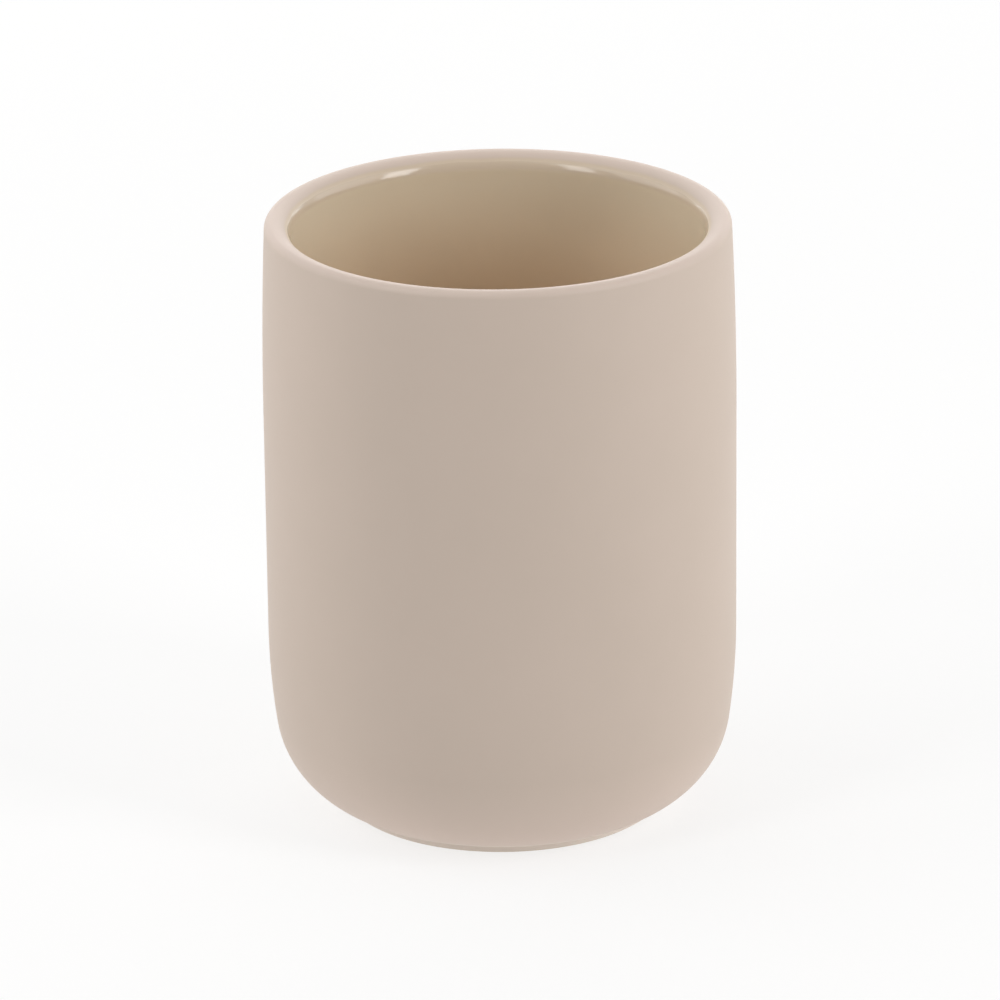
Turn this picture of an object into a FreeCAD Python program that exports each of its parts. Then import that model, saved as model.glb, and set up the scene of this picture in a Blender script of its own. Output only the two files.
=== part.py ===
import FreeCAD
import Part
import Sketcher
import math
import os
from enum import IntEnum
from types import SimpleNamespace

# A slip-cast stoneware tumbler: fired clay with a matte coat outside, a gloss glaze inside and a soft pad below.
# Lengths are in millimetres. The origin is the centre of the standing face, and +Z points out of the mouth.

SIZES = {
    # Fired clay, outside. Heights are counted from the land of the foot ring.
    "clay_height": 103.5,  # land to the crest of the lip
    "clay_radius": 39.7,  # on the straight band, where the wall is widest
    "band_start": 31.5,  # height where the straight band begins
    "band_height": 39.0,  # length of the straight band
    "upper_sweep": 670.0,  # radius of the wall where it draws in above the band
    "lower_sweep": 123.0,  # radius of the wall where it draws in below the band
    "corner_radius": 16.5,  # the big round between wall and base
    "corner_lift": 0.5,  # height of the lowest point of that round's circle
    "lip_outer_round": 1.0,  # outer half of the lip
    # Foot ring
    "foot_land": 4.0,  # width of the ring that is left bare
    "foot_round": 0.4,  # eased outer edge of the land
    "foot_side": 0.4,  # upright part of the ring's outer side
    "foot_cove": 1.7,  # hollow round between the side and the base
    "foot_ledge": 0.8,  # flat strip of the base beside the hollow round
    # Fired clay, inside
    "wall_thickness": 3.9,
    "floor_thickness": 3.6,
    "floor_round": 12.0,  # round between wall and floor
    # Skins on the clay
    "coat_thickness": 0.3,
    "glaze_thickness": 0.3,
    "glaze_line_share": 0.5,  # how far round the inner half of the lip the coat reaches, of a quarter turn
    # Pad in the recess of the base
    "pad_thickness": 1.8,
    "pad_proud": 0.2,  # how far the pad stands below the foot ring
    "pad_clearance": 0.5,  # gap round the pad in its recess
    "pad_round": 0.3,  # eased lower edge
    "adhesive_thickness": 0.2,
}

START, END, CENTRE = IntEnum("EdgePoint", "START END CENTRE")
HORIZONTAL_AXIS, VERTICAL_AXIS = range(-1, -3, -1)
ORIGIN = (HORIZONTAL_AXIS, START)
RIGHT = 0.0
UP = math.pi / 2
LEFT = math.pi
DOWN = -math.pi / 2


def make_sheet(doc):
    """The spreadsheet that drives every size."""
    sheet = doc.addObject("Spreadsheet::Sheet", "sizes")
    for row, (alias, value) in enumerate(SIZES.items(), start=1):
        sheet.set(f"A{row}", alias)
        sheet.set(f"B{row}", str(value))
        sheet.setAlias(f"B{row}", alias)
    doc.recompute()
    return sheet


def turned(centre, radius, angle):
    """The point at an angle on a circle."""
    return FreeCAD.Vector(centre.x + radius * math.cos(angle), centre.y + radius * math.sin(angle), 0)


def clay_layout(sheet):
    """Where the arcs and edges of the clay lie, as radius and height, worked out from the sheet."""
    size = SimpleNamespace(**{alias: float(sheet.get(alias)) for alias in SIZES})
    lay = SimpleNamespace(size=size)
    lay.band_end = size.band_start + size.band_height
    lay.lower = FreeCAD.Vector(size.clay_radius - size.lower_sweep, size.band_start, 0)
    lay.upper = FreeCAD.Vector(size.clay_radius - size.upper_sweep, lay.band_end, 0)

    # The corner's circle lies inside the lower sweep's circle and touches it.
    corner_height = size.corner_lift + size.corner_radius
    reach = size.lower_sweep - size.corner_radius
    corner_out = math.sqrt(reach**2 - (corner_height - lay.lower.y) ** 2)
    lay.corner = FreeCAD.Vector(lay.lower.x + corner_out, corner_height, 0)
    lay.corner_top = math.atan2(lay.corner.y - lay.lower.y, corner_out)

    # The foot ring steps in from where the corner meets the ledge.
    lay.cove_height = size.foot_round + size.foot_side
    lay.ledge_height = lay.cove_height + size.foot_cove
    ledge_out = math.sqrt(size.corner_radius**2 - (lay.corner.y - lay.ledge_height) ** 2)
    lay.foot_radius = lay.corner.x + ledge_out - size.foot_ledge - size.foot_cove
    lay.recess_radius = lay.foot_radius - size.foot_land
    lay.recess_depth = size.pad_thickness + size.adhesive_thickness - size.pad_proud

    # The outer half of the lip touches the upper sweep from inside.
    rise = size.clay_height - size.lip_outer_round - lay.upper.y
    crest_out = math.sqrt((size.upper_sweep - size.lip_outer_round) ** 2 - rise**2)
    lay.crest = lay.upper.x + crest_out
    lay.lip_outer_foot = math.atan2(rise, crest_out)

    # The inner half touches the inner wall's sweep from outside and shares the crest.
    inner_sweep = size.upper_sweep - size.wall_thickness
    full_rise = size.clay_height - lay.upper.y
    lay.lip_inner_round = (crest_out**2 + full_rise**2 - inner_sweep**2) / (2 * (inner_sweep + full_rise))
    lay.lip_inner = FreeCAD.Vector(lay.crest, size.clay_height - lay.lip_inner_round, 0)
    lay.lip_inner_foot = math.atan2(full_rise - lay.lip_inner_round, crest_out)
    lay.glaze_line = UP + UP * size.glaze_line_share

    # The floor's round touches the floor and the inner wall's lower sweep.
    lay.floor_height = lay.recess_depth + size.floor_thickness
    round_height = lay.floor_height + size.floor_round
    round_reach = size.lower_sweep - size.wall_thickness - size.floor_round
    round_out = math.sqrt(round_reach**2 - (round_height - lay.lower.y) ** 2)
    lay.floor_round = FreeCAD.Vector(lay.lower.x + round_out, round_height, 0)
    lay.floor_round_top = math.atan2(lay.floor_round.y - lay.lower.y, round_out)
    return lay


class Outline:
    """A closed outline in a body's XZ plane, with radius across and height up."""

    def __init__(self, body, name):
        self.sketch = body.newObject("Sketcher::SketchObject", name)
        plane = next(feature for feature in body.Origin.OriginFeatures if feature.Role == "XZ_Plane")
        self.sketch.AttachmentSupport = [(plane, "")]
        self.sketch.MapMode = "FlatFace"

    def line(self, start, end, direction=None):
        """A straight edge; direction is Horizontal, Vertical or left open."""
        edge = self.sketch.addGeometry(Part.LineSegment(FreeCAD.Vector(*start, 0), FreeCAD.Vector(*end, 0)))
        if direction:
            self.hold(direction, edge)
        return edge

    def arc(self, centre, radius, low, high):
        """A round edge, anticlockwise from its low angle to its high one."""
        circle = Part.Circle(centre, FreeCAD.Vector(0, 0, 1), radius)
        return self.sketch.addGeometry(Part.ArcOfCircle(circle, low, high))

    def hold(self, kind, *where):
        """A rule of the outline that has no size."""
        self.sketch.addConstraint(Sketcher.Constraint(kind, *where))

    def meet(self, first, second):
        """Two ends share a point."""
        self.hold("Coincident", *first, *second)

    def flow(self, first, second):
        """Two ends share a point and a direction."""
        self.hold("Tangent", *first, *second)

    def bind(self, name, kind, where, value, expression):
        """A size of the outline, driven by the sheet."""
        index = self.sketch.addConstraint(Sketcher.Constraint(kind, *where, value))
        self.sketch.renameConstraint(index, name)
        self.sketch.setExpression(f"Constraints.{name}", expression)

    def measure(self, name, kind, where, value):
        """A size that follows from the others, named so that mating pieces can use it."""
        index = self.sketch.addConstraint(Sketcher.Constraint(kind, *where, value))
        self.sketch.setDriving(index, False)
        self.sketch.renameConstraint(index, name)


def add_outside(outline, lay, tag, lip_end, skin=None):
    """Edges from the foot's upright side to an angle on the lip, on the clay or a skin's thickness out."""
    size = lay.size
    out = getattr(size, skin) if skin else 0
    plus = f" + sizes.{skin}" if skin else ""
    minus = f" - sizes.{skin}" if skin else ""

    side_out = lay.foot_radius + out
    side = outline.line((side_out, size.foot_round), (side_out, lay.cove_height), "Vertical")
    cove_centre = FreeCAD.Vector(lay.foot_radius + size.foot_cove, lay.cove_height, 0)
    cove = outline.arc(cove_centre, size.foot_cove - out, UP, LEFT)
    ledge_height = lay.ledge_height - out
    corner_radius = size.corner_radius + out
    corner_foot = math.asin((ledge_height - lay.corner.y) / corner_radius)
    ledge_end = turned(lay.corner, corner_radius, corner_foot)
    ledge = outline.line((cove_centre.x, ledge_height), (ledge_end.x, ledge_end.y), "Horizontal")
    corner = outline.arc(lay.corner, corner_radius, corner_foot, lay.corner_top)
    lower = outline.arc(lay.lower, size.lower_sweep + out, lay.corner_top, RIGHT)
    wall_out = size.clay_radius + out
    band = outline.line((wall_out, size.band_start), (wall_out, lay.band_end), "Vertical")
    upper = outline.arc(lay.upper, size.upper_sweep + out, RIGHT, lay.lip_outer_foot)
    lip_outer_centre = FreeCAD.Vector(lay.crest, size.clay_height - size.lip_outer_round, 0)
    lip_outer = outline.arc(lip_outer_centre, size.lip_outer_round + out, lay.lip_outer_foot, UP)
    lip_inner = outline.arc(lay.lip_inner, lay.lip_inner_round + out, UP, lip_end)

    outline.flow((side, END), (cove, END))
    outline.flow((cove, START), (ledge, START))
    outline.meet((ledge, END), (corner, START))
    outline.flow((corner, END), (lower, START))
    outline.flow((lower, END), (band, START))
    outline.flow((band, END), (upper, START))
    outline.flow((upper, END), (lip_outer, START))
    outline.flow((lip_outer, END), (lip_inner, START))
    outline.hold("Vertical", lip_outer, CENTRE, lip_outer, END)

    outline.bind(f"{tag}_side", "DistanceY", (side, START, side, END), size.foot_side, "sizes.foot_side")
    outline.bind(f"{tag}_cove", "Radius", (cove,), size.foot_cove - out, f"sizes.foot_cove{minus}")
    outline.bind(f"{tag}_corner", "Radius", (corner,), corner_radius, f"sizes.corner_radius{plus}")
    outline.bind(
        f"{tag}_corner_height", "DistanceY", (*ORIGIN, corner, CENTRE), lay.corner.y,
        "sizes.corner_lift + sizes.corner_radius",
    )
    outline.bind(f"{tag}_lower", "Radius", (lower,), size.lower_sweep + out, f"sizes.lower_sweep{plus}")
    outline.bind(f"{tag}_wall", "DistanceX", (*ORIGIN, band, START), wall_out, f"sizes.clay_radius{plus}")
    outline.bind(f"{tag}_band_start", "DistanceY", (*ORIGIN, band, START), size.band_start, "sizes.band_start")
    outline.bind(f"{tag}_band", "DistanceY", (band, START, band, END), size.band_height, "sizes.band_height")
    outline.bind(f"{tag}_upper", "Radius", (upper,), size.upper_sweep + out, f"sizes.upper_sweep{plus}")
    outline.bind(
        f"{tag}_lip_outer", "Radius", (lip_outer,), size.lip_outer_round + out, f"sizes.lip_outer_round{plus}",
    )
    outline.bind(
        f"{tag}_crest", "DistanceY", (*ORIGIN, lip_outer, END), size.clay_height + out, f"sizes.clay_height{plus}",
    )
    return SimpleNamespace(side=side, ledge=ledge, lip_outer=lip_outer, lip_inner=lip_inner)


def add_inside(outline, lay, tag, skin=None):
    """Edges from the top of the inner wall to the middle of the floor, on the clay or a skin's thickness in."""
    size = lay.size
    inward = getattr(size, skin) if skin else 0
    plus = f" + sizes.{skin}" if skin else ""
    minus = f" - sizes.{skin}" if skin else ""
    depth = size.wall_thickness + inward

    upper = outline.arc(lay.upper, size.upper_sweep - depth, RIGHT, lay.lip_inner_foot)
    wall_out = size.clay_radius - depth
    band = outline.line((wall_out, size.band_start), (wall_out, lay.band_end), "Vertical")
    lower = outline.arc(lay.lower, size.lower_sweep - depth, lay.floor_round_top, RIGHT)
    floor_round = outline.arc(lay.floor_round, size.floor_round - inward, DOWN, lay.floor_round_top)
    floor_height = lay.floor_height + inward
    floor = outline.line((0, floor_height), (lay.floor_round.x, floor_height), "Horizontal")

    outline.flow((upper, START), (band, END))
    outline.flow((band, START), (lower, END))
    outline.flow((lower, START), (floor_round, END))
    outline.flow((floor_round, START), (floor, END))
    outline.hold("PointOnObject", floor, START, VERTICAL_AXIS)

    inner = f"- sizes.wall_thickness{minus}"
    outline.bind(
        f"{tag}_upper_in", "Radius", (upper,), size.upper_sweep - depth, f"sizes.upper_sweep {inner}",
    )
    outline.bind(
        f"{tag}_lower_in", "Radius", (lower,), size.lower_sweep - depth, f"sizes.lower_sweep {inner}",
    )
    outline.bind(f"{tag}_wall_in", "DistanceX", (*ORIGIN, band, START), wall_out, f"sizes.clay_radius {inner}")
    outline.bind(
        f"{tag}_band_start_in", "DistanceY", (*ORIGIN, band, START), size.band_start, "sizes.band_start",
    )
    outline.bind(f"{tag}_band_in", "DistanceY", (band, START, band, END), size.band_height, "sizes.band_height")
    outline.bind(
        f"{tag}_floor_round", "Radius", (floor_round,), size.floor_round - inward, f"sizes.floor_round{minus}",
    )
    outline.bind(
        f"{tag}_floor", "DistanceY", (*ORIGIN, floor, START), floor_height,
        "sizes.pad_thickness + sizes.adhesive_thickness - sizes.pad_proud + sizes.floor_thickness" + plus,
    )
    return SimpleNamespace(upper=upper, floor=floor)


def revolve(body, outline, name):
    """One full turn of the outline about the upright axis."""
    turn = body.newObject("PartDesign::Revolution", name)
    turn.Profile = outline.sketch
    turn.ReferenceAxis = (outline.sketch, ["V_Axis"])
    turn.Angle = 360


def make_body(doc, name):
    """An empty sub-part."""
    body = doc.addObject("PartDesign::Body", name)
    body.Label = name
    return body


def make_stoneware_body(doc, lay):
    """The fired clay: foot ring, wall, lip and floor in one casting."""
    size = lay.size
    body = make_body(doc, "stoneware_body")
    outline = Outline(body, "clay_outline")
    outside = add_outside(outline, lay, "clay", LEFT + lay.lip_inner_foot)
    inside = add_inside(outline, lay, "clay")
    outline.flow((outside.lip_inner, END), (inside.upper, END))

    ceiling = outline.line((0, lay.recess_depth), (lay.recess_radius, lay.recess_depth), "Horizontal")
    recess = outline.line((lay.recess_radius, lay.recess_depth), (lay.recess_radius, 0), "Vertical")
    land_end = lay.foot_radius - size.foot_round
    land = outline.line((lay.recess_radius, 0), (land_end, 0), "Horizontal")
    edge_centre = FreeCAD.Vector(land_end, size.foot_round, 0)
    edge = outline.arc(edge_centre, size.foot_round, DOWN, RIGHT)
    axis = outline.line((0, lay.floor_height), (0, lay.recess_depth), "Vertical")

    outline.meet((ceiling, END), (recess, START))
    outline.meet((recess, END), (land, START))
    outline.flow((land, END), (edge, START))
    outline.flow((edge, END), (outside.side, START))
    outline.meet((inside.floor, START), (axis, START))
    outline.meet((axis, END), (ceiling, START))
    outline.hold("PointOnObject", land, START, HORIZONTAL_AXIS)

    outline.bind("edge_round", "Radius", (edge,), size.foot_round, "sizes.foot_round")
    outline.bind(
        "ledge_width", "DistanceX", (outside.ledge, START, outside.ledge, END), size.foot_ledge, "sizes.foot_ledge",
    )
    outline.bind(
        "land_width", "DistanceX", (land, START, outside.side, START), size.foot_land, "sizes.foot_land",
    )
    outline.bind(
        "recess_depth", "DistanceY", (*ORIGIN, ceiling, START), lay.recess_depth,
        "sizes.pad_thickness + sizes.adhesive_thickness - sizes.pad_proud",
    )
    outline.measure("foot_radius", "DistanceX", (*ORIGIN, outside.side, START), lay.foot_radius)
    outline.measure("recess_radius", "DistanceX", (*ORIGIN, land, START), lay.recess_radius)
    outline.measure("lip_inner_round", "Radius", (outside.lip_inner,), lay.lip_inner_round)
    outline.measure("lip_inner_height", "DistanceY", (*ORIGIN, outside.lip_inner, CENTRE), lay.lip_inner.y)
    revolve(body, outline, "clay_turn")
    body.setExpression("Placement.Base.z", "sizes.pad_proud")
    return body


def add_glaze_line(outline, lay, under, over):
    """The edge across the lip where coat and glaze meet, square to the clay."""
    inner = turned(lay.lip_inner, lay.lip_inner_round, lay.glaze_line)
    outer = turned(lay.lip_inner, lay.lip_inner_round + lay.size.coat_thickness, lay.glaze_line)
    line = outline.line((inner.x, inner.y), (outer.x, outer.y))
    outline.meet(under, (line, START))
    outline.meet(over, (line, END))
    outline.hold("PointOnObject", under[0], CENTRE, line)
    outline.bind("glaze_line", "Angle", (line,), lay.glaze_line, "90 deg + 90 deg * sizes.glaze_line_share")


def make_outer_coat(doc, lay):
    """The matte coat on the outside of the clay and over the crest of the lip."""
    size = lay.size
    body = make_body(doc, "outer_coat")
    outline = Outline(body, "coat_outline")
    under = add_outside(outline, lay, "under", lay.glaze_line)
    over = add_outside(outline, lay, "over", lay.glaze_line, "coat_thickness")
    stop_out = lay.foot_radius + size.coat_thickness
    stop = outline.line((lay.foot_radius, size.foot_round), (stop_out, size.foot_round), "Horizontal")
    outline.meet((under.side, START), (stop, START))
    outline.meet((over.side, START), (stop, END))
    outline.hold("Horizontal", under.lip_inner, CENTRE, over.lip_inner, CENTRE)
    add_glaze_line(outline, lay, (under.lip_inner, END), (over.lip_inner, END))

    outline.bind(
        "foot", "DistanceX", (*ORIGIN, stop, START), lay.foot_radius, "clay_outline.Constraints.foot_radius",
    )
    outline.bind("stop_height", "DistanceY", (*ORIGIN, stop, START), size.foot_round, "sizes.foot_round")
    outline.bind(
        "thickness", "DistanceX", (stop, START, stop, END), size.coat_thickness, "sizes.coat_thickness",
    )
    outline.bind(
        "lip_inner", "Radius", (under.lip_inner,), lay.lip_inner_round, "clay_outline.Constraints.lip_inner_round",
    )
    revolve(body, outline, "coat_turn")
    body.setExpression("Placement.Base.z", "sizes.pad_proud")
    return body


def make_inner_glaze(doc, lay):
    """The gloss glaze on the floor, the inner wall and the inner side of the lip."""
    size = lay.size
    body = make_body(doc, "inner_glaze")
    outline = Outline(body, "glaze_outline")
    lip_end = LEFT + lay.lip_inner_foot
    under = add_inside(outline, lay, "under")
    over = add_inside(outline, lay, "over", "glaze_thickness")
    under_lip = outline.arc(lay.lip_inner, lay.lip_inner_round, lay.glaze_line, lip_end)
    over_lip = outline.arc(lay.lip_inner, lay.lip_inner_round + size.glaze_thickness, lay.glaze_line, lip_end)
    axis = outline.line((0, lay.floor_height), (0, lay.floor_height + size.glaze_thickness))
    outline.flow((under_lip, END), (under.upper, END))
    outline.flow((over_lip, END), (over.upper, END))
    outline.meet((under_lip, CENTRE), (over_lip, CENTRE))
    outline.meet((under.floor, START), (axis, START))
    outline.meet((over.floor, START), (axis, END))
    add_glaze_line(outline, lay, (under_lip, START), (over_lip, START))

    outline.bind(
        "lip_inner", "Radius", (under_lip,), lay.lip_inner_round, "clay_outline.Constraints.lip_inner_round",
    )
    outline.bind(
        "lip_height", "DistanceY", (*ORIGIN, under_lip, CENTRE), lay.lip_inner.y,
        "clay_outline.Constraints.lip_inner_height",
    )
    revolve(body, outline, "glaze_turn")
    body.setExpression("Placement.Base.z", "sizes.pad_proud")
    return body


def make_base_pad(doc, lay):
    """The soft non-slip disc that the tumbler stands on."""
    size = lay.size
    body = make_body(doc, "base_pad")
    outline = Outline(body, "pad_outline")
    radius = lay.recess_radius - size.pad_clearance
    flat_end = radius - size.pad_round
    under = outline.line((0, 0), (flat_end, 0), "Horizontal")
    edge = outline.arc(FreeCAD.Vector(flat_end, size.pad_round, 0), size.pad_round, DOWN, RIGHT)
    side = outline.line((radius, size.pad_round), (radius, size.pad_thickness), "Vertical")
    top = outline.line((radius, size.pad_thickness), (0, size.pad_thickness), "Horizontal")
    axis = outline.line((0, size.pad_thickness), (0, 0), "Vertical")
    recess = outline.line((radius, size.pad_thickness), (lay.recess_radius, size.pad_thickness), "Horizontal")
    outline.sketch.toggleConstruction(recess)
    outline.meet((side, END), (recess, START))
    outline.flow((under, END), (edge, START))
    outline.flow((edge, END), (side, START))
    outline.meet((side, END), (top, START))
    outline.meet((top, END), (axis, START))
    outline.meet((axis, END), (under, START))
    outline.meet((under, START), ORIGIN)
    outline.bind("edge_round", "Radius", (edge,), size.pad_round, "sizes.pad_round")
    outline.bind(
        "recess_radius", "DistanceX", (*ORIGIN, recess, END), lay.recess_radius,
        "clay_outline.Constraints.recess_radius",
    )
    outline.bind("clearance", "DistanceX", (side, END, recess, END), size.pad_clearance, "sizes.pad_clearance")
    outline.bind("thickness", "DistanceY", (axis, END, axis, START), size.pad_thickness, "sizes.pad_thickness")
    outline.measure("pad_radius", "DistanceX", (*ORIGIN, side, START), radius)
    revolve(body, outline, "pad_turn")
    return body


def make_pad_adhesive(doc):
    """The film that holds the pad to the roof of the recess."""
    film = doc.addObject("Part::Cylinder", "pad_adhesive")
    film.Label = "pad_adhesive"
    film.setExpression("Radius", "pad_outline.Constraints.pad_radius")
    film.setExpression("Height", "sizes.adhesive_thickness")
    film.setExpression("Placement.Base.z", "sizes.pad_thickness")
    return film


def check(doc, pieces):
    """Stops before anything is written if an object failed or a sub-part isn't one sound solid."""
    failed = [thing.Name for thing in doc.Objects if {"Invalid", "Error"} & set(thing.State)]
    if failed:
        raise RuntimeError(f"these objects failed: {failed}")
    for piece in pieces:
        if piece.Shape.isNull() or not piece.Shape.isValid() or len(piece.Shape.Solids) != 1:
            raise RuntimeError(f"{piece.Label} isn't one sound solid")
    loose = [thing.Name for thing in doc.Objects if thing.isDerivedFrom("Sketcher::SketchObject")
             and not thing.FullyConstrained]
    if loose:
        raise RuntimeError(f"these outlines aren't fully held: {loose}")


def main():
    doc = FreeCAD.newDocument("bathroom_tumbler")
    lay = clay_layout(make_sheet(doc))
    pieces = [
        make_stoneware_body(doc, lay),
        make_outer_coat(doc, lay),
        make_inner_glaze(doc, lay),
        make_base_pad(doc, lay),
        make_pad_adhesive(doc),
    ]
    doc.recompute()
    check(doc, pieces)
    os.makedirs("parts", exist_ok=True)
    for piece in pieces:
        piece.Shape.exportStep(f"parts/{piece.Label}.step")
        box = piece.Shape.optimalBoundingBox(False, False)
        print(f"{piece.Label}: {piece.Shape.Volume / 1000:.2f} cm3, {box.ZMin:.3f} to {box.ZMax:.3f} mm high")


main()
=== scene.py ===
import math
from collections import namedtuple
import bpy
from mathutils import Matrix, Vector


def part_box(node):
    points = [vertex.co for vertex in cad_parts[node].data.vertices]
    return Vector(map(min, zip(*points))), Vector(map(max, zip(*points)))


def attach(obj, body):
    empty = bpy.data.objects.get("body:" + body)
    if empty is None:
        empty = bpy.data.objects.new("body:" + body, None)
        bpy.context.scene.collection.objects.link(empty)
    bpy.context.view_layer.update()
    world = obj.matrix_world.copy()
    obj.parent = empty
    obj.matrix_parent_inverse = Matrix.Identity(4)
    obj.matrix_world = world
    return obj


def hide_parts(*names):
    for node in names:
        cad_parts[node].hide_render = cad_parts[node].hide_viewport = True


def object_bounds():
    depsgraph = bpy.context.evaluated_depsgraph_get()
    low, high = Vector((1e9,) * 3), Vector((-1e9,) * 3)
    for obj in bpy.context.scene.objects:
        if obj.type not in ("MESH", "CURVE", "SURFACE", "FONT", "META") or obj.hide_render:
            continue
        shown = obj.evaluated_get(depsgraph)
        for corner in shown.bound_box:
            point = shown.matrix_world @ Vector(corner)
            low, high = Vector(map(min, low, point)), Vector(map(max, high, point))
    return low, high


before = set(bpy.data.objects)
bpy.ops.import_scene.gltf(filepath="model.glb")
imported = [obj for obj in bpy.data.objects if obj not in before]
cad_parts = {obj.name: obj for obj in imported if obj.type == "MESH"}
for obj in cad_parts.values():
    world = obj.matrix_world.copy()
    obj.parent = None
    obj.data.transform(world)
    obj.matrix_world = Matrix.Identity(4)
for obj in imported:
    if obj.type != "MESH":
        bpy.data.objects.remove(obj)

from types import SimpleNamespace

import bmesh
import bpy
from bpy.props import FloatProperty, FloatVectorProperty, PointerProperty
from mathutils import Matrix, Vector

# A matte stoneware tumbler with a gloss inside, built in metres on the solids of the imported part.
# The origin is the centre of the standing face, +Z points out of the mouth, and -Y is the front.

bl_info = {
    "name": "Stoneware Bathroom Tumbler",
    "version": (1, 0, 0),
    "blender": (4, 5, 0),
    "location": "View3D > Sidebar > Tumbler",
    "description": "Builds a stoneware tumbler, matte outside and gloss inside, and a studio stage",
    "category": "Add Mesh",
}

CAD_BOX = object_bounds()
MM = 0.001
FULL_TURN = 2 * math.pi
UP = math.pi / 2
LEFT = math.pi
RINGS = 256  # steps of a full turn, which leaves the outline round to a few microns
WELD = 0.001 * MM  # points nearer than this are one
FINENESS = 0.0001 * MM  # places are told apart to this when they are sorted
PLACES_ACROSS = 1000000  # more than the steps of that fineness from the axis to the widest point
SHARP_ANGLE = math.radians(40)  # edges that turn more than this stay crisp

# Sockets of the Mix node when it mixes colours, and when it mixes numbers
MIX_SHARE = 0
COLOUR_FIRST, COLOUR_SECOND, COLOUR_RESULT = 6, 7, 2
NUMBER_FIRST, NUMBER_SECOND, NUMBER_RESULT = 2, 3, 0

# Refractive indices
GLAZE_IOR = 1.52
CLAY_IOR = 1.5
SILICONE_IOR = 1.41
ACRYLIC_IOR = 1.47

# The stage: how much of the floor's light is its own glow, where it is seen and where it lights other things
FLOOR_RADIUS = 3.0
FLOOR_GLOW_SEEN = 0.72
FLOOR_GLOW_AS_LIGHT = 0.5
ROOM_SEEN = 1.0

# The camera turns about a point on the axis, and looks a little beside it, as the picture's framing has it.
SENSOR_WIDTH_MM = 36
CAMERA_REACH = 20
CAMERA_PIVOT = 52.2 * MM
LOOK_UP = 1.231 * MM
LOOK_RIGHT = -0.178 * MM

# Softboxes, each with the name of its power among the studio's settings. Azimuths are counted in degrees
# from the front towards the right, elevations from the level. The lengths are in metres.
SoftBox = namedtuple("SoftBox", "name power azimuth elevation distance width height")
SOFTBOXES = (
    SoftBox("top_box", "top", -80, 71, 1.0, 1.4, 1.4),
    SoftBox("right_box", "right", 59, 27, 0.9, 0.28, 0.55),
    SoftBox("left_box", "left", -49, 31, 0.9, 0.25, 0.5),
    SoftBox("right_panel", "side", 97, 24, 1.0, 0.85, 0.8),
    SoftBox("left_panel", "side", -97, 31, 1.0, 0.85, 0.8),
    SoftBox("back_panel", "back", 180, 24, 1.0, 1.9, 0.75),
)


def linear(hex_colour):
    """The linear colour of an sRGB hex value."""
    parts = [int(hex_colour[k:k + 2], 16) / 255 for k in (1, 3, 5)]
    return [c / 12.92 if c <= 0.04045 else ((c + 0.055) / 1.055) ** 2.4 for c in parts]


def length(name, description, metres):
    """A size that a user may change."""
    return FloatProperty(name=name, description=description, default=metres, min=0, precision=5,
                         unit="LENGTH", subtype="DISTANCE")


def angle(name, description, degrees):
    """An angle that a user may change."""
    return FloatProperty(name=name, description=description, default=math.radians(degrees),
                         unit="ROTATION", subtype="ANGLE")


def power(name, description, watts):
    """A lamp's power that a user may change."""
    return FloatProperty(name=name, description=description, default=watts, min=0, unit="POWER")


def colour(name, description, hex_colour):
    """A colour that a user may change."""
    return FloatVectorProperty(name=name, description=description, default=linear(hex_colour), size=3,
                               min=0, max=1, subtype="COLOR")


CLAY_LOW, CLAY_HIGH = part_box("stoneware_body")
COAT_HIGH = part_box("outer_coat")[1]
PAD_LOW, PAD_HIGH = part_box("base_pad")
FILM_LOW, FILM_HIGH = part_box("pad_adhesive")


class TumblerSizes(bpy.types.PropertyGroup):
    """Lengths of the tumbler. Heights are counted from the land of the foot ring."""

    clay_height: length("Clay height", "Land to the crest of the clay's lip", CLAY_HIGH.z - CLAY_LOW.z)
    clay_radius: length("Clay radius", "On the straight band of the wall", CLAY_HIGH.x)
    band_start: length("Band start", "Height where the straight band begins", 31.5 * MM)
    band_height: length("Band height", "Length of the straight band", 39.0 * MM)
    upper_sweep: length("Upper sweep", "Radius of the wall where it draws in above the band", 670.0 * MM)
    lower_sweep: length("Lower sweep", "Radius of the wall where it draws in below the band", 123.0 * MM)
    corner_radius: length("Corner radius", "The big round between wall and base", 16.5 * MM)
    corner_lift: length("Corner lift", "Lowest point of the corner's circle", 0.5 * MM)
    lip_outer_round: length("Lip round", "Outer half of the lip", 1.0 * MM)
    foot_land: length("Foot land", "Width of the bare ring that faces down", 4.0 * MM)
    foot_round: length("Foot round", "Eased outer edge of the land", 0.4 * MM)
    foot_ease: length("Foot ease", "Sponged inner edge of the land", 0.25 * MM)
    foot_side: length("Foot side", "Upright part of the ring's outer side", 0.4 * MM)
    foot_cove: length("Foot cove", "Hollow round between the side and the base", 1.7 * MM)
    foot_ledge: length("Foot ledge", "Flat strip of the base beside the cove", 0.8 * MM)
    wall_thickness: length("Wall thickness", "Clay wall", 3.9 * MM)
    floor_thickness: length("Floor thickness", "Clay floor above the recess", 3.6 * MM)
    floor_round: length("Floor round", "Round between wall and floor", 12.0 * MM)
    coat_thickness: length("Coat thickness", "Matte skin outside", COAT_HIGH.x - CLAY_HIGH.x)
    glaze_thickness: length("Glaze thickness", "Gloss skin inside", 0.3 * MM)
    glaze_line: angle("Glaze line", "How far the coat goes over the lip, from its crest", 45)
    pad_radius: length("Pad radius", "Soft disc in the recess", PAD_HIGH.x)
    pad_thickness: length("Pad thickness", "Soft disc in the recess", PAD_HIGH.z - PAD_LOW.z)
    pad_round: length("Pad round", "Eased lower edge of the pad", 0.3 * MM)
    pad_proud: length("Pad proud", "How far the pad stands below the foot ring", CLAY_LOW.z - PAD_LOW.z)
    film_thickness: length("Film thickness", "Adhesive on the pad", FILM_HIGH.z - FILM_LOW.z)


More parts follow.
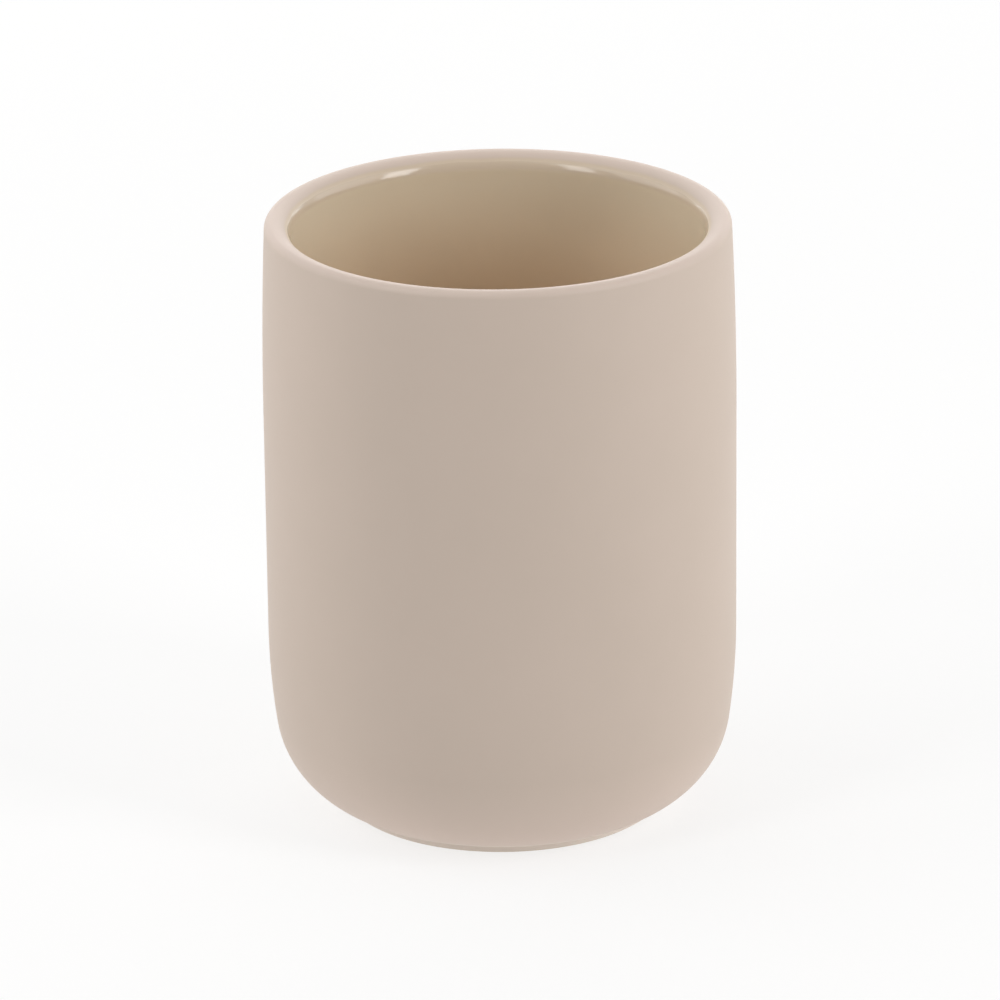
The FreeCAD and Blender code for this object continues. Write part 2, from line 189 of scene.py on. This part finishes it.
class TumblerColours(bpy.types.PropertyGroup):
    """Colours of the finishes."""

    coat: colour("Matte coat", "Outside", "#c5b5a7")
    # Painted light: this paler colour lightens the crest of the lip and the round under the base. It also
    # carries the coat's faint clouds.
    coat_clouds_and_painted_light: colour("Pale coat", "Where the coat is thin, on the lip and under the base", "#dac7bb")
    # Painted light: this pale colour lightens the coat on the foot ring's side and cove, which lie in shade
    # under the base.
    coat_painted_foot_light: colour("Wiped coat", "On the foot ring, which is wiped before firing", "#ebe0d5")
    glaze: colour("Gloss glaze", "Inside, below the lip", "#e3d6be")
    # Painted shade: this darker, warmer colour darkens the inner wall further down in the hollow.
    glaze_shaded_low: colour("Warm glaze", "Lower down, where the glaze runs thicker", "#dec3a4")
    # Painted shade: this darker colour shades the thin glaze on the inner round of the lip.
    glaze_thin_and_shaded: colour("Thin glaze", "Where the glaze has run down from the lip", "#cebca6")
    # Pooled glaze and painted shade: this darker colour darkens the floor and the round between it and the
    # inner wall.
    glaze_pooled_and_shaded: colour("Pooled glaze", "Where the glaze runs thick round the floor", "#d0bb9f")
    clay: colour("Fired clay", "Bare clay of the foot ring", "#dccfbf")
    clay_speck: colour("Clay speck", "Iron grains in the clay", "#8d7a66")
    pad: colour("Silicone", "Pad under the base", "#9c9891")
    pad_dust: colour("Silicone bloom", "Dusty bloom on the pad", "#aeaaa3")
    film: colour("Adhesive film", "Edge of the film", "#dbd6c9")
    floor: colour("Studio floor", "Floor and backdrop", "#fdfdfc")


class StudioLight(bpy.types.PropertyGroup):
    """Strengths of the studio's lamps and how the camera stands."""

    room: FloatProperty(name="Room light", description="Even light from all round", default=0.08, min=0)
    top: power("Top box", "Power of the box overhead", 4.3)
    right: power("Right box", "Power of the tall box at the right of the camera", 3.1)
    left: power("Left box", "Power of the tall box at the left of the camera", 1.65)
    side: power("Side panels", "Power of each panel beside the tumbler", 2.85)
    back: power("Back panel", "Power of the wide panel behind the tumbler", 6.9)
    camera_distance: length("Camera distance", "Lens to the middle of the tumbler", 1.2)
    camera_height: angle("Camera height", "Angle above the level", 20.52)
    camera_roll: angle("Camera roll", "Lean of the picture", -0.637)
    camera_lens: FloatProperty(name="Lens", description="Focal length on a 36 mm wide sensor",
                               default=254.05, subtype="DISTANCE_CAMERA")


# Shapes


def clay_layout(size):
    """Centres and angles of the rounds that make up the clay's outline, as radius and height."""
    lay = SimpleNamespace()
    land = size.pad_proud
    lay.base = land
    lay.band_low = land + size.band_start
    lay.band_high = lay.band_low + size.band_height
    lay.lower = (size.clay_radius - size.lower_sweep, lay.band_low)
    lay.upper = (size.clay_radius - size.upper_sweep, lay.band_high)

    # The corner's circle touches the lower sweep's circle from inside.
    corner_height = land + size.corner_lift + size.corner_radius
    corner_drop = corner_height - lay.band_low
    corner_out = math.sqrt((size.lower_sweep - size.corner_radius) ** 2 - corner_drop**2)
    lay.corner = (lay.lower[0] + corner_out, corner_height)
    lay.corner_top = math.atan2(corner_drop, corner_out)

    # The foot ring steps in from where the corner meets the ledge.
    lay.edge_height = land + size.foot_round
    lay.cove_height = lay.edge_height + size.foot_side
    lay.ledge_height = lay.cove_height + size.foot_cove
    ledge_out = math.sqrt(size.corner_radius**2 - (corner_height - lay.ledge_height) ** 2)
    lay.foot_radius = lay.corner[0] + ledge_out - size.foot_ledge - size.foot_cove
    lay.cove = (lay.foot_radius + size.foot_cove, lay.cove_height)
    lay.recess_radius = lay.foot_radius - size.foot_land
    lay.recess_height = size.pad_thickness + size.film_thickness

    # Each half of the lip touches its side of the wall, and the two share the crest.
    crest_height = land + size.clay_height
    rise = crest_height - size.lip_outer_round - lay.band_high
    crest_out = math.sqrt((size.upper_sweep - size.lip_outer_round) ** 2 - rise**2)
    lay.crest = lay.upper[0] + crest_out
    lay.lip_outer = (lay.crest, crest_height - size.lip_outer_round)
    lay.lip_outer_foot = math.atan2(rise, crest_out)
    inner_sweep = size.upper_sweep - size.wall_thickness
    full_rise = crest_height - lay.band_high
    lay.lip_inner_round = (crest_out**2 + full_rise**2 - inner_sweep**2) / (2 * (inner_sweep + full_rise))
    lay.lip_inner = (lay.crest, crest_height - lay.lip_inner_round)
    lay.lip_inner_foot = math.atan2(full_rise - lay.lip_inner_round, crest_out)
    lay.glaze_line = UP + size.glaze_line

    # The floor's round touches the floor and the inner wall's lower sweep.
    lay.floor_height = lay.recess_height + size.floor_thickness
    round_height = lay.floor_height + size.floor_round
    round_reach = size.lower_sweep - size.wall_thickness - size.floor_round
    round_drop = round_height - lay.band_low
    round_out = math.sqrt(round_reach**2 - round_drop**2)
    lay.floor_round = (lay.lower[0] + round_out, round_height)
    lay.floor_round_top = math.atan2(round_drop, round_out)
    return lay


def place_number(place):
    """A whole number for a place, by height, then radius, then angle in halves of a step of the turn."""
    height = round(place.z / FINENESS)
    radius = round(math.hypot(place.x, place.y) / FINENESS)
    half_steps = round(math.atan2(place.y, place.x) % FULL_TURN / FULL_TURN * 2 * RINGS)
    return (height * PLACES_ACROSS + radius) * 4 * RINGS + half_steps


class Outline:
    """A wire with radius along X and height along Z, which a full spin about Z turns into a piece."""

    def __init__(self):
        self.bm = bmesh.new()

    def start(self, radius, height):
        """Puts the pen down."""
        self.pen = self.bm.verts.new((radius, 0, height))

    def draw(self, **way):
        """Takes the pen along a way and leaves a wire behind it."""
        moved = bmesh.ops.spin(self.bm, geom=[self.pen], **way)
        self.pen = next(part for part in moved["geom_last"] if isinstance(part, bmesh.types.BMVert))

    def line(self, radius, height, steps=1):
        """Draws a straight stretch to a point."""
        step = (Vector((radius, 0, height)) - self.pen.co) / steps
        self.draw(axis=(0, 0, 1), angle=0, dvec=step, steps=steps)

    def arc(self, centre, turn, steps):
        """Draws a round about a centre, anticlockwise with radius to the right and height upwards."""
        self.draw(cent=(centre[0], 0, centre[1]), axis=(0, -1, 0), angle=turn, steps=steps)

    def turn(self):
        """Spins the wire about the upright axis into a closed skin whose faces point outwards."""
        bm = self.bm
        bmesh.ops.remove_doubles(bm, verts=bm.verts, dist=WELD)
        bmesh.ops.spin(bm, geom=bm.verts[:] + bm.edges[:], cent=(0, 0, 0), axis=(0, 0, 1), angle=FULL_TURN,
                       steps=RINGS, use_merge=True)
        bmesh.ops.remove_doubles(bm, verts=bm.verts, dist=WELD)
        bmesh.ops.recalc_face_normals(bm, faces=bm.faces)
        # The spin lists points and faces in a different order each run, so both are sorted by place.
        bm.verts.sort(key=lambda point: place_number(point.co))
        bm.faces.sort(key=lambda face: place_number(face.calc_center_median()))


def draw_outside(outline, size, lay, out, lip_end):
    """From the foot's upright side to an angle on the lip, on the clay or a skin's thickness out."""
    outline.line(lay.foot_radius + out, lay.cove_height, steps=2)
    outline.arc(lay.cove, -UP, steps=8)
    ledge_height = lay.ledge_height - out
    corner_foot = math.asin((ledge_height - lay.corner[1]) / (size.corner_radius + out))
    ledge_end = lay.corner[0] + (size.corner_radius + out) * math.cos(corner_foot)
    outline.line(ledge_end, ledge_height, steps=2)
    outline.arc(lay.corner, lay.corner_top - corner_foot, steps=26)
    outline.arc(lay.lower, -lay.corner_top, steps=10)
    outline.line(size.clay_radius + out, lay.band_high, steps=10)
    outline.arc(lay.upper, lay.lip_outer_foot, steps=9)
    outline.arc(lay.lip_outer, UP - lay.lip_outer_foot, steps=12)
    outline.arc(lay.lip_inner, lip_end - UP, steps=12)


def draw_inside(outline, size, lay, inward):
    """From the top of the inner wall to the middle of the floor, on the clay or a skin's thickness in."""
    outline.arc(lay.upper, -lay.lip_inner_foot, steps=9)
    outline.line(size.clay_radius - size.wall_thickness - inward, lay.band_low, steps=10)
    outline.arc(lay.lower, lay.floor_round_top, steps=8)
    outline.arc(lay.floor_round, -UP - lay.floor_round_top, steps=22)
    outline.line(0, lay.floor_height + inward, steps=8)


def on_lip(lay, around, out):
    """A point at an angle on the inner half of the lip, on the clay or a skin's thickness out."""
    reach = lay.lip_inner_round + out
    return lay.lip_inner[0] + reach * math.cos(around), lay.lip_inner[1] + reach * math.sin(around)


def make_piece(name, outline, node, material):
    """Turns an outline into the object that stands for a solid of the part."""
    mesh = bpy.data.meshes.new(name)
    outline.bm.to_mesh(mesh)
    outline.bm.free()
    mesh.shade_smooth()
    mesh.set_sharp_from_angle(angle=SHARP_ANGLE)
    mesh.materials.append(material)
    piece = bpy.data.objects.new(name, mesh)
    bpy.context.scene.collection.objects.link(piece)
    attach(piece, "root")
    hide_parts(node)


# Nodes. Each helper takes values or sockets, and gives back the socket with its result.


def node(tree, kind, inputs=None, **settings):
    """Adds a node. Its inputs are values or sockets, by name or number, and its settings are by name."""
    made = tree.nodes.new(kind)
    for key, value in settings.items():
        setattr(made, key, value)
    for key, value in (inputs or {}).items():
        if isinstance(value, bpy.types.NodeSocket):
            tree.links.new(value, made.inputs[key])
        else:
            made.inputs[key].default_value = value
    return made


def rgba(tint):
    """A colour socket's four values."""
    return (*tint, 1)


def per_metre(millimetres):
    """The scale at which a pattern repeats about once in a real length."""
    return 1 / (millimetres * MM)


def noise(tree, place, spot_mm, detail, roughness=0.5):
    """A soft pattern from 0 to 1 with spots of about a real size."""
    inputs = {"Vector": place, "Scale": per_metre(spot_mm), "Detail": detail, "Roughness": roughness}
    return node(tree, "ShaderNodeTexNoise", inputs).outputs["Fac"]


def arithmetic(tree, operation, *values, clamp=False):
    """One step of arithmetic."""
    made = node(tree, "ShaderNodeMath", dict(enumerate(values)), operation=operation, use_clamp=clamp)
    return made.outputs[0]


def ramp(tree, value, start=0.0, end=1.0, low=0.0, high=1.0, soft=False):
    """Goes from low to high as a value goes from start to end, and stays there beyond."""
    inputs = {"Value": value, "From Min": start, "From Max": end, "To Min": low, "To Max": high}
    kind = "SMOOTHSTEP" if soft else "LINEAR"
    return node(tree, "ShaderNodeMapRange", inputs, interpolation_type=kind).outputs[0]


def blend(tree, share, first, second):
    """Goes from one colour to another as the share goes from 0 to 1."""
    inputs = {MIX_SHARE: share, COLOUR_FIRST: first, COLOUR_SECOND: second}
    return node(tree, "ShaderNodeMix", inputs, data_type="RGBA").outputs[COLOUR_RESULT]


def blend_numbers(tree, share, first, second):
    """Goes from one number to another as the share goes from 0 to 1."""
    inputs = {MIX_SHARE: share, NUMBER_FIRST: first, NUMBER_SECOND: second}
    return node(tree, "ShaderNodeMix", inputs, data_type="FLOAT").outputs[NUMBER_RESULT]


def relief(tree, height, strength, depth_mm, **below):
    """Bumps of a real depth, on top of another relief if one is given as Normal."""
    inputs = {"Height": height, "Strength": strength, "Distance": depth_mm * MM, **below}
    return node(tree, "ShaderNodeBump", inputs).outputs[0]


def new_tree(holder):
    """The empty node tree of a material or a world."""
    holder.use_nodes = True
    holder.node_tree.nodes.clear()
    return holder.node_tree


def new_material(name):
    """An empty node material with the piece's own coordinates."""
    material = bpy.data.materials.new(name)
    tree = new_tree(material)
    return material, tree, node(tree, "ShaderNodeTexCoord").outputs["Object"]


def surface(tree, tint, rough, normal, ior):
    """Ends a material with a surface of a colour, a roughness, a relief and a refractive index."""
    inputs = {"Base Color": tint, "Roughness": rough, "Normal": normal, "IOR": ior}
    shader = node(tree, "ShaderNodeBsdfPrincipled", inputs)
    node(tree, "ShaderNodeOutputMaterial", {"Surface": shader.outputs[0]})


# Materials


def past_lip(tree, place, lay, size, line, spread_mm, inside):
    """From 0 outside to 1 inside, with a wandering soft line at an angle from the crest of the lip."""
    parts = node(tree, "ShaderNodeSeparateXYZ", {0: place}).outputs
    across = node(tree, "ShaderNodeCombineXYZ", {0: parts[0], 1: parts[1]}).outputs[0]
    radius = node(tree, "ShaderNodeVectorMath", {0: across}, operation="LENGTH").outputs["Value"]
    inward = arithmetic(tree, "SUBTRACT", lay.crest, radius)
    rise = arithmetic(tree, "SUBTRACT", parts[2], lay.lip_inner[1])
    around = arithmetic(tree, "ARCTAN2", inward, rise)
    wander = noise(tree, place, spot_mm=9, detail=2.0)
    spread = spread_mm * MM / (lay.lip_inner_round + size.coat_thickness)
    shifted = arithmetic(tree, "MULTIPLY_ADD", wander, spread, around)
    share = ramp(tree, shifted, line, line + spread, soft=True)
    if inside:
        return share
    on_top = arithmetic(tree, "GREATER_THAN", rise, 0.0)
    return arithmetic(tree, "MULTIPLY", share, on_top)


def coat_tint(tree, height, clouds, lay, size, colours):
    """The matte coat: faintly cloudy, with painted light that makes it paler on the crest of the lip and
    under the base, and painted light on the band of the foot ring.
    """
    crest_height = lay.lip_outer[1] + size.lip_outer_round + size.coat_thickness
    # Painted light: the crest of the lip is made paler, as light from above falls on it.
    crest = ramp(tree, height, lay.lip_outer[1], crest_height, high=0.55)
    # Painted light: the round under the base is made paler, as light from the floor below falls on it.
    under = ramp(tree, height, lay.cove_height, lay.corner[1], low=0.65, high=0.0)
    edges = arithmetic(tree, "ADD", crest, under)
    cloud_and_light_share = arithmetic(tree, "MULTIPLY_ADD", clouds, 0.3, edges, clamp=True)
    sprayed = blend(tree, cloud_and_light_share, rgba(colours.coat), rgba(colours.coat_clouds_and_painted_light))
    # Painted light: below the ledge, the coat's band on the foot ring is made pale against the shade that
    # falls there.
    foot_light_low, foot_light_high = lay.ledge_height - size.coat_thickness, lay.ledge_height + size.coat_thickness
    wiped = ramp(tree, height, foot_light_low, foot_light_high, low=0.75, high=0.0, soft=True)
    return blend(tree, wiped, sprayed, rgba(colours.coat_painted_foot_light))


def glaze_tint(tree, height, clouds, lay, colours):
    """The gloss glaze: thin on the lip's inner round and darkened there by painted shade, with painted shade
    that makes it warmer and darker further down the wall and darkest over the floor, where the glaze also
    pools.
    """
    # Pooled glaze and painted shade: darkest over the floor, fading up the floor's round to the wall.
    pool_and_shade = ramp(tree, height, lay.floor_height, lay.floor_round[1], low=0.85, high=0.1)
    depth = arithmetic(tree, "MULTIPLY_ADD", clouds, 0.2, pool_and_shade, clamp=True)
    lip = lay.lip_inner[1]
    # Painted shade: the glaze turns darker and warmer from just below the lip to 25 mm down.
    shade_down_wall = ramp(tree, height, lip - 25 * MM, lip - 2 * MM, low=1.0, high=0.0)
    run = blend(tree, shade_down_wall, rgba(colours.glaze), rgba(colours.glaze_shaded_low))
    thick = blend(tree, depth, run, rgba(colours.glaze_pooled_and_shaded))
    # Painted shade: the thin glaze on the lip's inner round is darkened, more towards the crest.
    thin_lip_shade = ramp(tree, height, lip - 0.1 * MM, lip + 0.9 * MM, high=0.9, soft=True)
    return blend(tree, thin_lip_shade, thick, rgba(colours.glaze_thin_and_shaded))


def stoneware_skin(name, size, colours, inside):
    """Matte stoneware glaze outside and gloss stoneware glaze inside, with their soft overlap at the lip.

    The matte one is a sprayed, fine-crystal coat that looks dry and even, with faint clouds, and with painted
    light that makes it paler on the crest of the lip, under the base and on the band of the foot ring. The
    gloss one was poured: smooth, wet-looking and a little wavy, with painted shade that darkens it on the
    inner round of the lip and further down the wall, and most over the floor, where the glaze also pools."""
    material, tree, place = new_material(name)
    lay = clay_layout(size)
    # The poured glaze overlaps the coat on the lip, where it is thin: it tints at once and shines further in.
    shine_line = size.glaze_line + math.radians(11)
    share = past_lip(tree, place, lay, size, size.glaze_line, 0.7, inside)
    shine = past_lip(tree, place, lay, size, shine_line, 0.9, inside)
    height = node(tree, "ShaderNodeSeparateXYZ", {0: place}).outputs[2]

    clouds = noise(tree, place, spot_mm=24, detail=3.0, roughness=0.55)
    coat = coat_tint(tree, height, clouds, lay, size, colours)
    glaze = glaze_tint(tree, height, clouds, lay, colours)
    tint = blend(tree, share, coat, glaze)

    # The crystals are about 0.05 mm and too fine to show, so they are drawn at 0.5 mm.
    grain = noise(tree, place, spot_mm=0.5, detail=2.0)
    dry = ramp(tree, grain, low=0.50, high=0.60)
    wet = ramp(tree, clouds, low=0.09, high=0.14)
    rough = blend_numbers(tree, shine, dry, wet)

    crystals = relief(tree, grain, strength=0.5, depth_mm=0.012)
    waves = noise(tree, place, spot_mm=9, detail=1.0)
    wet_waves = arithmetic(tree, "MULTIPLY", waves, shine)
    normal = relief(tree, wet_waves, strength=0.6, depth_mm=0.08, Normal=crystals)
    surface(tree, tint, rough, normal, GLAZE_IOR)
    return material


def fired_clay(colours):
    """Bare stoneware, slip cast and sponged before firing: dry, chalky and gritty, with iron grains."""
    material, tree, place = new_material("bare_fired_stoneware")
    grit = noise(tree, place, spot_mm=0.7, detail=4.0)
    grains = node(tree, "ShaderNodeTexVoronoi", {"Vector": place, "Scale": per_metre(2.2)})
    speck = ramp(tree, grains.outputs["Distance"], 0.10, 0.16, low=0.7, high=0.0)
    clouds = noise(tree, place, spot_mm=14, detail=3.0)
    tone = ramp(tree, clouds, high=0.35)
    body = blend(tree, tone, rgba(colours.clay), rgba(colours.coat))
    tint = blend(tree, speck, body, rgba(colours.clay_speck))
    rough = ramp(tree, grit, low=0.82, high=0.95)
    normal = relief(tree, grit, strength=0.7, depth_mm=0.06)
    surface(tree, tint, rough, normal, CLAY_IOR)
    return material


def silicone(colours):
    """Silicone rubber, moulded against a fine blasted tool: soft grey, satin, with a dusty bloom."""
    material, tree, place = new_material("moulded_silicone_rubber")
    blast = noise(tree, place, spot_mm=0.6, detail=3.0)
    bloom = noise(tree, place, spot_mm=11, detail=4.0)
    tone = ramp(tree, bloom, 0.35, 0.7)
    tint = blend(tree, tone, rgba(colours.pad), rgba(colours.pad_dust))
    rough = ramp(tree, bloom, low=0.5, high=0.72)
    normal = relief(tree, blast, strength=0.5, depth_mm=0.03)
    surface(tree, tint, rough, normal, SILICONE_IOR)
    return material


def acrylic_film(colours):
    """Acrylic adhesive film, rolled on: pale, smooth and slightly milky, with faint roller streaks."""
    material, tree, place = new_material("acrylic_adhesive_film")
    stretched = node(tree, "ShaderNodeMapping", {"Vector": place, "Scale": (1.0, 0.15, 1.0)}).outputs[0]
    streaks = noise(tree, stretched, spot_mm=1.5, detail=2.0)
    tone = ramp(tree, streaks, high=0.3)
    tint = blend(tree, tone, rgba(colours.film), rgba(colours.clay))
    rough = ramp(tree, streaks, low=0.3, high=0.45)
    normal = relief(tree, streaks, strength=0.3, depth_mm=0.02)
    surface(tree, tint, rough, normal, ACRYLIC_IOR)
    return material


# Pieces


class TUMBLER_OT_clay(bpy.types.Operator):
    """The fired clay in one casting, with the foot ring left bare"""

    bl_idname = "tumbler.clay"
    bl_label = "Fired clay"

    def execute(self, context):
        size, colours = context.scene.tumbler_sizes, context.scene.tumbler_colours
        lay = clay_layout(size)
        outline = Outline()
        outline.start(0, lay.recess_height)
        outline.line(lay.recess_radius, lay.recess_height, steps=8)
        outline.line(lay.recess_radius, lay.base + size.foot_ease, steps=2)
        outline.arc((lay.recess_radius + size.foot_ease, lay.base + size.foot_ease), UP, steps=5)
        outline.line(lay.foot_radius - size.foot_round, lay.base, steps=6)
        outline.arc((lay.foot_radius - size.foot_round, lay.edge_height), UP, steps=6)
        draw_outside(outline, size, lay, 0, LEFT + lay.lip_inner_foot)
        draw_inside(outline, size, lay, 0)
        outline.turn()
        make_piece("stoneware_casting", outline, "stoneware_body", fired_clay(colours))
        return {"FINISHED"}


class TUMBLER_OT_coat(bpy.types.Operator):
    """The matte coat on the outside and over the crest of the lip"""

    bl_idname = "tumbler.coat"
    bl_label = "Matte coat"

    def execute(self, context):
        size, colours = context.scene.tumbler_sizes, context.scene.tumbler_colours
        lay = clay_layout(size)
        outline = Outline()
        outline.start(lay.foot_radius, lay.edge_height)
        outline.line(lay.foot_radius + size.coat_thickness, lay.edge_height)
        draw_outside(outline, size, lay, size.coat_thickness, lay.glaze_line)
        outline.line(*on_lip(lay, lay.glaze_line, 0))
        outline.start(lay.foot_radius, lay.edge_height)
        draw_outside(outline, size, lay, 0, lay.glaze_line)
        outline.turn()
        material = stoneware_skin("matte_stoneware_glaze", size, colours, inside=False)
        make_piece("matte_skin", outline, "outer_coat", material)
        return {"FINISHED"}


class TUMBLER_OT_glaze(bpy.types.Operator):
    """The gloss glaze on the floor, the inner wall and the inner side of the lip"""

    bl_idname = "tumbler.glaze"
    bl_label = "Gloss glaze"

    def execute(self, context):
        size, colours = context.scene.tumbler_sizes, context.scene.tumbler_colours
        lay = clay_layout(size)
        to_wall = LEFT + lay.lip_inner_foot - lay.glaze_line
        outline = Outline()
        outline.start(*on_lip(lay, lay.glaze_line, 0))
        outline.line(*on_lip(lay, lay.glaze_line, size.glaze_thickness))
        outline.arc(lay.lip_inner, to_wall, steps=10)
        draw_inside(outline, size, lay, size.glaze_thickness)
        outline.start(*on_lip(lay, lay.glaze_line, 0))
        outline.arc(lay.lip_inner, to_wall, steps=10)
        draw_inside(outline, size, lay, 0)
        outline.turn()
        material = stoneware_skin("gloss_stoneware_glaze", size, colours, inside=True)
        make_piece("gloss_skin", outline, "inner_glaze", material)
        return {"FINISHED"}


class TUMBLER_OT_pad(bpy.types.Operator):
    """The soft disc in the recess, which the tumbler stands on"""

    bl_idname = "tumbler.pad"
    bl_label = "Base pad"

    def execute(self, context):
        size, colours = context.scene.tumbler_sizes, context.scene.tumbler_colours
        edge = size.pad_radius - size.pad_round
        outline = Outline()
        outline.start(0, 0)
        outline.line(edge, 0, steps=10)
        outline.arc((edge, size.pad_round), UP, steps=6)
        outline.line(size.pad_radius, size.pad_thickness, steps=3)
        outline.line(0, size.pad_thickness, steps=10)
        outline.turn()
        make_piece("silicone_pad", outline, "base_pad", silicone(colours))
        return {"FINISHED"}


class TUMBLER_OT_film(bpy.types.Operator):
    """The adhesive film between the pad and the roof of the recess"""

    bl_idname = "tumbler.film"
    bl_label = "Adhesive film"

    def execute(self, context):
        size, colours = context.scene.tumbler_sizes, context.scene.tumbler_colours
        top = size.pad_thickness + size.film_thickness
        outline = Outline()
        outline.start(0, size.pad_thickness)
        outline.line(size.pad_radius, size.pad_thickness, steps=10)
        outline.line(size.pad_radius, top, steps=2)
        outline.line(0, top, steps=10)
        outline.turn()
        make_piece("film_disc", outline, "pad_adhesive", acrylic_film(colours))
        return {"FINISHED"}


# Stage


def seen_directly(tree):
    """1 for the camera's rays and those that gloss or clear surfaces send on, and 0 for rays of light."""
    path = node(tree, "ShaderNodeLightPath").outputs
    straight = arithmetic(tree, "MAXIMUM", path["Is Camera Ray"], path["Is Glossy Ray"])
    return arithmetic(tree, "MAXIMUM", straight, path["Is Transmission Ray"])


def add_floor(colours):
    """A pale sheet under the tumbler, part paper and part even glow, as a lit shooting table is."""
    bm = bmesh.new()
    bmesh.ops.create_circle(bm, cap_ends=True, segments=96, radius=FLOOR_RADIUS)
    mesh = bpy.data.meshes.new("studio_floor")
    bm.to_mesh(mesh)
    bm.free()
    material = bpy.data.materials.new("matte_white_paper")
    tree = new_tree(material)
    paper = node(tree, "ShaderNodeBsdfDiffuse", {"Color": rgba(colours.floor)}).outputs[0]
    white = node(tree, "ShaderNodeEmission", {"Strength": 1.0}).outputs[0]
    glow = ramp(tree, seen_directly(tree), low=FLOOR_GLOW_AS_LIGHT, high=FLOOR_GLOW_SEEN)
    mixed = node(tree, "ShaderNodeMixShader", {0: glow, 1: paper, 2: white}).outputs[0]
    node(tree, "ShaderNodeOutputMaterial", {"Surface": mixed})
    mesh.materials.append(material)
    floor = bpy.data.objects.new("studio_floor", mesh)
    bpy.context.scene.collection.objects.link(floor)


def add_room(studio):
    """Even light from all round, which is seen brighter than it shines."""
    world = bpy.data.worlds.new("studio_room")
    bpy.context.scene.world = world
    tree = new_tree(world)
    level = ramp(tree, seen_directly(tree), low=studio.room, high=ROOM_SEEN)
    room = node(tree, "ShaderNodeBackground", {"Strength": level}).outputs[0]
    node(tree, "ShaderNodeOutputWorld", {"Surface": room})


def add_softbox(box, watts):
    """A softbox that faces the middle of the tumbler."""
    lamp = bpy.data.lights.new(box.name, "AREA")
    lamp.shape = "RECTANGLE"
    lamp.size = box.width
    lamp.size_y = box.height
    lamp.energy = watts
    holder = bpy.data.objects.new(box.name, lamp)
    bpy.context.scene.collection.objects.link(holder)
    around, above = math.radians(box.azimuth), math.radians(box.elevation)
    middle = Vector((0, 0, (CAD_BOX[0][2] + CAD_BOX[1][2]) / 2))
    level = math.cos(above)
    way = Vector((math.sin(around) * level, -math.cos(around) * level, math.sin(above)))
    holder.location = middle + box.distance * way
    holder.rotation_euler = way.to_track_quat("Z", "Y").to_euler()


def add_camera(studio):
    """The camera in front of the tumbler, a little above it and with a slight lean."""
    tilt, roll = studio.camera_height, studio.camera_roll
    back = Vector((0, -math.cos(tilt), math.sin(tilt)))
    side = Vector((1, 0, 0))
    over = back.cross(side)
    across = side * math.cos(roll) + over * math.sin(roll)
    top = over * math.cos(roll) - side * math.sin(roll)
    pivot = Vector((0, 0, CAMERA_PIVOT))
    eye = pivot + back * studio.camera_distance
    aim = pivot + top * LOOK_UP + across * LOOK_RIGHT
    lens = bpy.data.cameras.new("studio_camera")
    lens.lens = studio.camera_lens
    lens.sensor_width = SENSOR_WIDTH_MM
    lens.clip_end = CAMERA_REACH
    camera = bpy.data.objects.new("studio_camera", lens)
    bpy.context.scene.collection.objects.link(camera)
    axis = (eye - aim).normalized()
    right = top.cross(axis).normalized()
    turned = Matrix((right, axis.cross(right), axis)).transposed().to_4x4()
    camera.matrix_world = Matrix.Translation(eye) @ turned
    bpy.context.scene.camera = camera


class TUMBLER_OT_stage(bpy.types.Operator):
    """The pale floor, the softboxes, the room light and the camera"""

    bl_idname = "tumbler.stage"
    bl_label = "Studio stage"

    def execute(self, context):
        scene, studio = context.scene, context.scene.tumbler_studio
        scene.view_settings.view_transform = "Standard"
        add_floor(scene.tumbler_colours)
        add_room(studio)
        for box in SOFTBOXES:
            add_softbox(box, getattr(studio, box.power))
        add_camera(studio)
        return {"FINISHED"}


class TUMBLER_PT_pieces(bpy.types.Panel):
    """Lists the pieces of the tumbler and its stage"""

    bl_idname = "TUMBLER_PT_pieces"
    bl_label = "Stoneware tumbler"
    bl_space_type = "VIEW_3D"
    bl_region_type = "UI"
    bl_category = "Tumbler"

    def draw(self, context):
        for piece in PIECES:
            self.layout.operator(piece.bl_idname)


PIECES = (
    TUMBLER_OT_clay,
    TUMBLER_OT_coat,
    TUMBLER_OT_glaze,
    TUMBLER_OT_pad,
    TUMBLER_OT_film,
    TUMBLER_OT_stage,
)
CLASSES = (TumblerSizes, TumblerColours, StudioLight, *PIECES, TUMBLER_PT_pieces)


def register():
    for item in CLASSES:
        bpy.utils.register_class(item)
    bpy.types.Scene.tumbler_sizes = PointerProperty(type=TumblerSizes)
    bpy.types.Scene.tumbler_colours = PointerProperty(type=TumblerColours)
    bpy.types.Scene.tumbler_studio = PointerProperty(type=StudioLight)


def unregister():
    del bpy.types.Scene.tumbler_studio
    del bpy.types.Scene.tumbler_colours
    del bpy.types.Scene.tumbler_sizes
    for item in reversed(CLASSES):
        bpy.utils.unregister_class(item)


def main():
    register()
    bpy.ops.tumbler.clay()
    bpy.ops.tumbler.coat()
    bpy.ops.tumbler.glaze()
    bpy.ops.tumbler.pad()
    bpy.ops.tumbler.film()
    bpy.ops.tumbler.stage()


if __name__ == "__main__":
    main()
